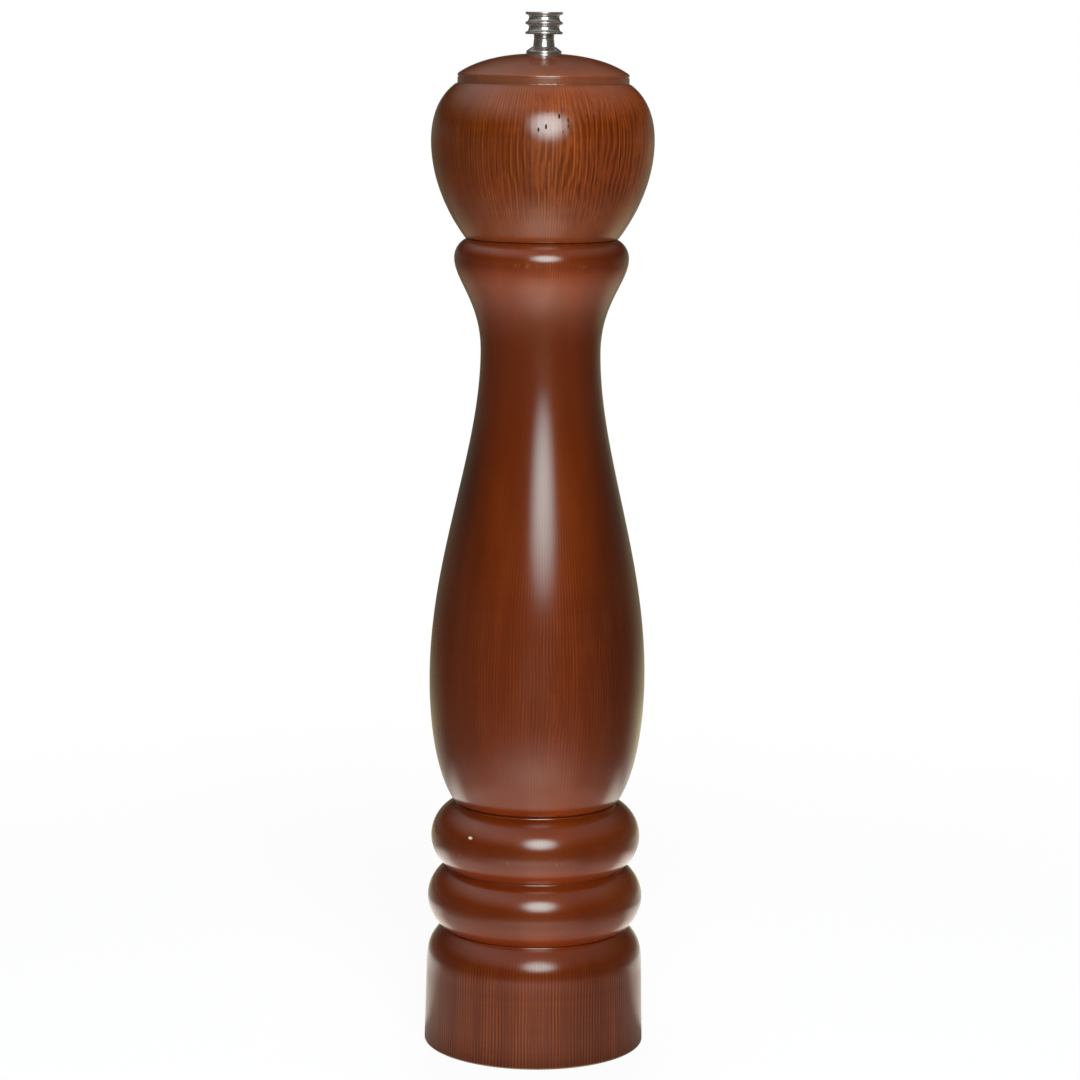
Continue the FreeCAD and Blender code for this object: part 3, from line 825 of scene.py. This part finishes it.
def pores(tree, place):
    """Open pores in one spot on the head's front: slanting slots at the points of a cell pattern."""
    xyz = split(tree, place)
    across = less(tree, xyz["X"], PORE_SPOT[0])
    up = less(tree, xyz["Z"], PORE_SPOT[1])
    flat = add(tree, "CombineXYZ", {0: across, 1: up, 2: 0.0}).outputs[0]
    slanted = {"Vector": flat, "Rotation": (0.0, 0.0, PORE_SLANT), "Scale": (440, 175, 1)}
    mapped = add(tree, "Mapping", slanted).outputs[0]
    cells = add(tree, "TexVoronoi", {"Vector": mapped, "Scale": 1.0}, voronoi_dimensions="2D")
    slot = span(tree, cells.outputs["Distance"], 0.10, 0.16, 1.0, 0.0)
    wide = add(tree, "Mapping", {"Vector": flat, "Scale": (0.62, 1, 1)}).outputs[0]
    in_spot = span(tree, length_of(tree, wide), 0.0028, 0.0038, 1.0, 0.0)
    front = span(tree, xyz["Y"], -0.01, 0.0, 1.0, 0.0)
    return times(tree, slot, front, in_spot)


def ray_flecks(tree, place, height):
    """Faint pale ticks in short rows where a turn has cut across the wood's rays: beads and collar."""
    tick = span(tree, noise(tree, place, (1900, 1900, 300), detail=1.0), 0.55, 0.68)
    broad = noise(tree, place, (60, 60, 60), detail=0.0, shift=(0.15, 0.62, 0.2))
    where = span(tree, broad, 0.5, 0.58)
    rows = 0.0
    for row, half in FLECK_ROWS:
        away = size_of(tree, less(tree, height, row))
        rows = plus(tree, rows, span(tree, away, half * 0.3, half, 1.0, 0.0))
    return times(tree, tick, where, rows)


def chipped(tree, place):
    """One small chip in the lacquer of the upper bead, where pale wood shows."""
    there = vector_node(tree, "SUBTRACT", place, CHIP_SPOT)
    uneven = add(tree, "Mapping", {"Vector": there, "Scale": (0.8, 0.8, 1.5)}).outputs[0]
    edge = times(tree, noise(tree, place, (2500, 2500, 2500), detail=1.0), 0.0004)
    return span(tree, plus(tree, length_of(tree, uneven), edge), 0.0007, 0.00085, 1.0, 0.0)


def wood_grain(tree, place, part):
    """The stain's level from dark to light, and the vessel dashes in it.

    Fine lines less the dashes, plus broad bands, turning marks and long streaks about a middle level.
    The dashes are deepest on the head, faint on the bulge, and weaker on the left."""
    to_right = span(tree, split(tree, place)["X"], -0.024, 0.006, 0.3, 1.0)
    patch = span(tree, noise(tree, place, (40, 40, 30), detail=1.0), 0.3, 0.55, 0.45, 1.0)
    grain = swayed(tree, place)
    close_set = vessel_dashes(tree, grain, *BODY_DASHES)
    wide_set = vessel_dashes(tree, grain, *HEAD_DASHES)
    dashes = mixed(tree, span(tree, part, 0.74, 0.78), close_set, wide_set)
    dashes = times(tree, dashes, graded(tree, part, DASH_DEPTH), patch, to_right)
    line_depth = graded(tree, part, LINE_DEPTH)
    bands = less(tree, noise(tree, place, (55, 55, 6)), 0.5)
    turning = less(tree, noise(tree, place, (12, 12, 620)), 0.5)
    streaks = less(tree, noise(tree, place, (260, 260, 14)), 0.5)
    tone = plus(tree, times(tree, bands, 0.4), times(tree, turning, line_depth, 0.5),
                times(tree, streaks, line_depth, 1.3), MIDDLE_LEVEL)
    lines = times(tree, fine_lines(tree, place), line_depth)
    lines = less(tree, lines, times(tree, dashes, 0.45))
    return math_node(tree, "ADD", lines, tone, clamp=True), dashes


def stain_painted_light_and_shade(tree, place, part):
    """The stain's level with painted light and painted shade: a level by height, partly the stain's own tone
    and partly painted light and shade, plus painted light on the head that grows to the right, less painted
    shade on the two sides, on the left and on the body's right.

    Painted light too: surfaces that face up or down, the shoulders and the undersides, are made brighter."""
    side = split(tree, place)["X"]
    normal = add(tree, "NewGeometry").outputs["Normal"]
    # Painted light: the more a surface faces up or down, the brighter its stain
    painted_facing_light = span(tree, size_of(tree, split(tree, normal)["Z"]), 0.1, 0.7, 1.0, 1.55)
    # Painted shade towards the mill's two sides
    painted_flank_shade = times(tree, span(tree, size_of(tree, side), 0.008, 0.024), graded(tree, part, PAINTED_FLANK_SHADE))
    # Painted shade on the mill's left
    left = times(tree, graded(tree, part, PAINTED_LEFT_SHADE), span(tree, side, -0.024, -0.013, 1.0, 0.0))
    # Painted shade on the body's right
    right = times(tree, span(tree, side, 0.004, 0.026, 0.0, 0.13), span(tree, part, 0.78, 0.82, 1.0, 0.0))
    # Painted light on the head, growing towards its right
    painted_head_light = times(tree, span(tree, part, 0.82, 0.88), span(tree, part, 0.94, 0.955, 1.0, 0.55),
                    span(tree, side, -0.02, 0.02, 0.08, 0.56))
    # Stain level with the painted shade taken off and the painted light added
    kept = plus(tree, less(tree, graded(tree, part, STAIN_AND_PAINTED_SHADING), painted_flank_shade), painted_head_light)
    kept = less(tree, less(tree, kept, right), left)
    return times(tree, painted_facing_light, kept)


def lacquered_wood():
    """Brown stain under gloss lacquer, solid through the wood, with pores, cut rays and one chip.

    The head is more golden, and the flare, the head's foot and its band carry a painted sheen, a pale
    tone standing in for the lacquer's reflection.  The stain carries painted light and painted shade by
    height and side.  The fibres under the lacquer have a warm lustre, and the foot's wall is less polished."""
    material, tree, surface, place = new_material("lacquered_wood")
    height = split(tree, place)["Z"]
    part = math_node(tree, "DIVIDE", height, MILL_HEIGHT)
    level, dashes = wood_grain(tree, place, part)
    # The stain's colour scaled by its level with painted light and painted shade
    scaled = {0: ramp(tree, level, STAIN), "Scale": stain_painted_light_and_shade(tree, place, part)}
    stain = add(tree, "VectorMath", scaled, operation="SCALE").outputs[0]
    golden = mixed(tree, span(tree, part, 0.775, 0.8), WHITE, HEAD_GOLD)
    stain = vector_node(tree, "MULTIPLY", stain, golden)
    # Painted sheen: a pale tone blended in on the flare, the head's foot and its band
    painted_sheen = graded(tree, part, PAINTED_SHEEN)
    flecks = times(tree, ray_flecks(tree, place, height), 0.3)
    pore = pores(tree, place)
    chip = chipped(tree, place)
    covers = [(painted_sheen, PAINTED_SHEEN_COLOUR), (flecks, CUT_RAY_COLOUR), (pore, PORE_COLOUR), (chip, CHIP_COLOUR)]
    for cover, colour in covers:
        stain = mixed(tree, cover, stain, colour)
    bare = math_node(tree, "MAXIMUM", pore, chip)
    gloss = less(tree, graded(tree, part, POLISH), bare, clamp=True)
    ripple = noise(tree, place, (240, 240, 110), detail=1.0)
    relief = less(tree, ripple, times(tree, dashes, 0.5))
    set_inputs(tree, surface, {
        "Base Color": stain, "Roughness": 0.6, "IOR": LACQUER_IOR, "Specular IOR Level": 0.32,
        "Specular Tint": FIBRE_LUSTRE, "Coat Weight": gloss, "Coat Roughness": 0.18,
        "Coat IOR": LACQUER_IOR, "Coat Normal": bumps(tree, relief, 0.09, 0.00012)})
    return material


def bare_wood():
    """Unstained wood in the bores: pale, dull, with the same upright lines."""
    material, tree, surface, place = new_material("bare_wood")
    line = fine_lines(tree, place)
    bands = noise(tree, place, (90, 90, 9))
    both = plus(tree, times(tree, line, 0.4), bands)
    colour = ramp(tree, both, [(0.25, (0.30, 0.17, 0.08)), (0.75, (0.50, 0.33, 0.18))])
    bump = bumps(tree, line, 0.3, 0.0002)
    set_inputs(tree, surface, {"Base Color": colour, "Roughness": 0.72, "Normal": bump})
    return material


def chrome():
    """Polished chrome plate with a faint haze and fine turning marks round it."""
    material, tree, surface, place = new_material("chrome_plate")
    haze = noise(tree, place, (700, 700, 2600))
    rough = graded(tree, haze, [(0.3, 0.2), (0.7, 0.28)])
    marks = noise(tree, place, (60, 60, 9000), detail=1.0)
    bump = bumps(tree, marks, 0.06, 0.00003)
    set_inputs(tree, surface, {"Base Color": (0.68, 0.63, 0.61, 1.0), "Metallic": 0.9, "Roughness": rough,
                               "Normal": bump})
    return material


def metal(name, dark, light, rough_low, rough_high, scale):
    """Bare or plated metal: cloudy tone and roughness from two noises."""
    material, tree, surface, place = new_material(name)
    cloud = noise(tree, place, (scale, scale, scale), detail=4.0, roughness=0.6)
    fine = noise(tree, place, (6 * scale, 6 * scale, 6 * scale))
    colour = ramp(tree, cloud, [(0.3, dark), (0.7, light)])
    rough = graded(tree, fine, [(0.3, rough_low), (0.7, rough_high)])
    bump = bumps(tree, fine, 0.06, 0.00005)
    set_inputs(tree, surface, {"Base Color": colour, "Metallic": 0.85, "Roughness": rough, "Normal": bump})
    return material


def nylon():
    """Natural nylon: warm white, slightly waxy."""
    material, tree, surface, place = new_material("natural_nylon")
    cloud = noise(tree, place, (300, 300, 300), detail=3.0)
    colour = ramp(tree, cloud, [(0.3, (0.62, 0.59, 0.49)), (0.7, (0.74, 0.71, 0.62))])
    set_inputs(tree, surface, {"Base Color": colour, "Roughness": 0.42, "Subsurface Weight": 0.1,
                               "Subsurface Radius": (0.001, 0.001, 0.0008)})
    return material


FINISHES = {
    "wood": lacquered_wood(),
    "bare": bare_wood(),
    "chrome": chrome(),
    "steel": metal("zinc_plated_steel", (0.54, 0.54, 0.55), (0.68, 0.68, 0.68), 0.26, 0.38, 160),
    "burr_steel": metal("hardened_burr_steel", (0.09, 0.09, 0.095), (0.17, 0.17, 0.175), 0.35, 0.55, 400),
    "nylon": nylon(),
}


def dress_cad_nodes():
    """Each node that keeps its own mesh gets the finish of its slot."""
    slots = {part["node"]: part["material_slot"] for part in frame["record"]["subparts"]}
    for node, piece in frame["nodes"].items():
        piece.data.materials.clear()
        piece.data.materials.append(FINISHES[slots[node]])


def stand_for(piece, node, body):
    """A piece that is shown in place of a node and rides on its body."""
    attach(piece, body)
    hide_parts(node)


def wooden_pieces():
    """The turned body, and the head on top of it."""
    finishes = [FINISHES["wood"], FINISHES["bare"]]
    section, rows = body_section()
    body = turned("mill_body_wood", section, finishes, rows, BODY_SEGMENTS)
    stand_for(body, "body", "mill_body")
    foot_z = section[:, 1].max() + JOINT_GAP
    step_z = foot_z + HEAD_LOWER_HEIGHT + HEAD_UPPER_HEIGHT
    section, rows = head_section(foot_z)
    tears = torn_band(step_z, step_z + BAND_HEIGHT)
    head = turned("mill_head_wood", section, finishes, rows, HEAD_SEGMENTS, tears)
    stand_for(head, "head", "turning_head")


def chromed_pieces():
    """The finial nut and its conical washer."""
    finish = [FINISHES["chrome"]]
    nut = turned("finial_nut", nut_section(), finish, shape=scored_neck)
    stand_for(nut, "adjusting_nut", "finial")
    stand_for(turned("conical_washer", washer_section(), finish), "cap_washer", "nut_washer")


def ring_of_screws(name, node, body, count, circle, first_deg, radius, head_z):
    """Screws at even angles round a circle, from a first angle in degrees."""
    section = screw_section(radius, head_z, top_of(node))
    shape = screw_shape(radius, head_z)
    for index in range(count):
        angle = math.radians(first_deg) + TAU * index / count
        place = (circle * math.cos(angle), circle * math.sin(angle))
        screw = turned(f"{name}_{index + 1}", section, [FINISHES["steel"]], segments=SCREW_SEGMENTS,
                       shape=shape, centre=place)
        stand_for(screw, node, body)


def steel_pieces():
    """The shaft, its lock nut, the screws and the spring."""
    finish = [FINISHES["steel"]]
    shaft = turned("square_shaft", shaft_section(), finish, segments=SHAFT_SEGMENTS, shape=shaft_shape)
    stand_for(shaft, "shaft", "shaft_and_burr")
    nut = turned("lock_nut", lock_nut_section(), finish, segments=LOCK_NUT_SEGMENTS, shape=lock_nut_shape)
    stand_for(nut, "rotor_nut", "shaft_and_burr")
    ring_of_screws("ring_screw", "retaining_screws", "mill_body", 3, RING_SCREW_CIRCLE, 90.0, RING_SCREW,
                   foot_of("retaining_ring"))
    ring_of_screws("plate_screw", "drive_plate_screws", "turning_head", 2, PLATE_SCREW_CIRCLE, 0.0,
                   PLATE_SCREW, foot_of("drive_plate"))
    spring = spring_coil("burr_spring", FINISHES["steel"])
    stand_for(spring, "spring", "spindle")
    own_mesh(spring)


# The studio.  LANE and AROUND give the floor's level at each reach from the mill's axis.
FLOOR_HALF = 12.0
SHEET_COLOUR = (0.9, 0.9, 0.9, 1.0)
NEAR_WARMTH = (1.0, 0.97, 0.86, 1.0)
FAR_WARMTH = (1.0, 0.9, 0.58, 1.0)
ROOM_WARMTH = (1.0, 0.95, 0.74, 1.0)
ROOM_FILL = 0.04
LANE = [
    (0.03, 0.42), (0.06, 0.95), (0.10, 0.80), (0.15, 1.05), (0.20, 0.55),
    (0.30, 0.12), (0.50, 0.18), (0.60, 0.20),
]
AROUND = [(0.03, 0.3), (0.06, 0.6), (0.11, 0.6), (0.13, 0.25), (0.17, 0.22), (0.22, 0.05), (0.50, 0.02)]
KEY_COLOUR = (0.84, 1.0, 1.0)
SENSOR_MM = 36.0
LENS_MM = 110.78
VIEW_FROM = (0, -0.9672, 0.3019)
VIEW_DOWN_DEG = 8.84
VIEW_ASIDE_DEG = -0.026
VIEW_ROLL_DEG = 0.63


def floor_in_lacquer(tree, xyz, reach):
    """How bright the floor is in reflections.

    A pale lane in front of the mill, which narrows further out, in a dimmer ring; behind the mill a
    close glow and a far one, which light the edges of its outline.  The brightest of them counts."""
    turn = front_turn(tree, xyz)
    lane = times(tree, graded(tree, reach, LANE), span(tree, turn, 0.12, 0.34, 1.15, 0.95))
    around = times(tree, graded(tree, reach, AROUND), span(tree, xyz["X"], -0.12, 0.12, 1.25, 0.8))
    aside = times(tree, turn, span(tree, reach, 0.3, 0.6, 1.0, 2.2))
    before = mixed(tree, span(tree, aside, 0.2, 1.1, 1.0, 0.0), around, lane)
    close = times(tree, span(tree, turn, 1.65, 2.1, 0.0, 1.4), span(tree, reach, 0.11, 0.24, 1.3, 0.0))
    far = times(tree, span(tree, turn, 1.8, 2.65), span(tree, xyz["X"], -0.2, 0.2, 0.15, 0.27),
                span(tree, reach, 0.55, 0.95, 2.1, 1.0), span(tree, reach, 0.4, 0.55, 1.6, 1.0))
    return math_node(tree, "MAXIMUM", before, math_node(tree, "MAXIMUM", close, far))


def floor():
    """White sheet that glows: white to the camera with a soft shadow, and a fill from below for the wood."""
    corners = np.array([[-1, -1, 0], [1, -1, 0], [1, 1, 0], [-1, 1, 0]]) * FLOOR_HALF
    material = bpy.data.materials.new("white_sheet")
    material.use_nodes = True
    material.cycles.emission_sampling = "NONE"
    tree = material.node_tree
    tree.nodes.clear()
    place = add(tree, "TexCoord").outputs["Object"]
    reach = length_of(tree, place)
    rays = add(tree, "LightPath").outputs
    white = span(tree, reach, 0.2, 0.6, 1.11, 1.0)
    fill = span(tree, reach, 0.03, 0.06, 0.4, 1.25)
    reflected = floor_in_lacquer(tree, split(tree, place), reach)
    strength = plus(tree, times(tree, rays["Is Camera Ray"], white),
                    times(tree, rays["Is Glossy Ray"], reflected),
                    times(tree, rays["Is Diffuse Ray"], fill), rays["Is Transmission Ray"])
    shaded = times(tree, rays["Is Camera Ray"], span(tree, reach, 0.2, 0.6, 0.18, 0.0))
    sheet = add(tree, "BsdfDiffuse", {"Color": SHEET_COLOUR}).outputs[0]
    warm = mixed(tree, span(tree, reach, 0.2, 0.35), NEAR_WARMTH, FAR_WARMTH)
    colour = mixed(tree, rays["Is Glossy Ray"], WHITE, warm)
    glow = add(tree, "Emission", {"Color": colour, "Strength": strength}).outputs[0]
    both = add(tree, "MixShader", {0: shaded, 1: glow, 2: sheet}).outputs[0]
    add(tree, "OutputMaterial", {"Surface": both})
    put_mesh("floor", corners, [[0, 1, 2, 3]], [material], [0])


def room_in_lacquer(tree, xyz, upward):
    """How bright the room is in reflections: a soft ceiling that is brighter on the left and in front,
    a faint front, a faint wall behind and a low horizon."""
    turn = front_turn(tree, xyz)
    ceiling = times(tree, upward, span(tree, xyz["X"], -0.7, 0.2, 0.68, 0.3),
                    span(tree, xyz["Y"], 0.2, 0.8, 1.0, 0.7))
    front = span(tree, xyz["Y"], -0.5, -0.95, 0.0, 0.02)
    wall = times(tree, span(tree, turn, 2.3, 2.7), span(tree, xyz["Z"], 0.02, 0.2, 0.07, 0.0))
    horizon = times(tree, span(tree, size_of(tree, xyz["Z"]), 0.05, 0.2, 0.12, 0.02),
                    span(tree, turn, 1.5, 2.5, 0.3, 1.0))
    return plus(tree, ceiling, front, wall, horizon)


def world():
    """White behind everything for the camera; to the mill a dark room with a soft ceiling."""
    made = bpy.data.worlds.new("studio")
    bpy.context.scene.world = made
    made.use_nodes = True
    made.cycles.sampling_method = "NONE"
    tree = made.node_tree
    tree.nodes.clear()
    xyz = split(tree, add(tree, "TexCoord").outputs["Generated"])
    rays = add(tree, "LightPath").outputs
    upward = span(tree, xyz["Z"], 0.25, 0.8)
    clear = math_node(tree, "MAXIMUM", rays["Is Camera Ray"], rays["Is Transmission Ray"])
    strength = plus(tree, times(tree, rays["Is Glossy Ray"], room_in_lacquer(tree, xyz, upward)),
                    times(tree, rays["Is Diffuse Ray"], ROOM_FILL), clear)
    colour = mixed(tree, rays["Is Glossy Ray"], WHITE, mixed(tree, upward, ROOM_WARMTH, WHITE))
    background = add(tree, "Background", {"Color": colour, "Strength": strength}).outputs[0]
    add(tree, "OutputWorld", {"Surface": background})


def soft_box(name, place, target, side, radiance, colour=(1, 1, 1), in_reflections=True):
    """Square area lamp turned towards a point; its glow fades from the middle to the edge."""
    lamp = bpy.data.lights.new(name, "AREA")
    lamp.shape = "RECTANGLE"
    lamp.size = side
    lamp.size_y = side
    lamp.energy = radiance * math.pi * side * side
    lamp.color = colour
    lamp.use_nodes = True
    tree = lamp.node_tree
    spot = add(tree, "NewGeometry").outputs["Parametric"]
    away = vector_node(tree, "SUBTRACT", spot, (0.5, 0.5, 0.0))
    reach = length_of(tree, vector_node(tree, "MULTIPLY", away, (1.0, 1.0, 0.0)))
    set_inputs(tree, tree.nodes["Emission"], {"Strength": span(tree, reach, 0.16, 0.62, 1.0, 0.0)})
    made = bpy.data.objects.new(name, lamp)
    bpy.context.scene.collection.objects.link(made)
    aim = Vector(target) - Vector(place)
    made.matrix_world = Matrix.Translation(place) @ aim.to_track_quat("-Z", "Y").to_matrix().to_4x4()
    made.visible_camera = False
    made.visible_glossy = in_reflections


def turn_about(axis, degrees):
    """Rotation about one axis."""
    return Matrix.Rotation(math.radians(degrees), 4, axis)


def camera():
    """The photograph's view: slightly from above, with a long lens and a small roll."""
    lens = bpy.data.cameras.new("view")
    lens.sensor_width = SENSOR_MM
    lens.lens = LENS_MM
    made = bpy.data.objects.new("view", lens)
    bpy.context.scene.collection.objects.link(made)
    aim = turn_about("Z", VIEW_ASIDE_DEG) @ turn_about("X", 90 - VIEW_DOWN_DEG)
    made.matrix_world = Matrix.Translation(VIEW_FROM) @ aim @ turn_about("Z", VIEW_ROLL_DEG)
    bpy.context.scene.camera = made


dress_cad_nodes()
wooden_pieces()
chromed_pieces()
steel_pieces()
floor()
world()
soft_box("key", (0.08, -0.78, 0.565), (0, 0, 0.2), 0.6, 7.7, colour=KEY_COLOUR)
soft_box("top_fill", (0, 0.05, 1.3), (0, 0, 0.2), 0.4, 10.0, in_reflections=False)
soft_box("back_fill", (0, 2.2, 0.9), (0, 0, 0.15), 1.5, 4.0, in_reflections=False)
camera()
bpy.context.scene.view_settings.view_transform = "Standard"
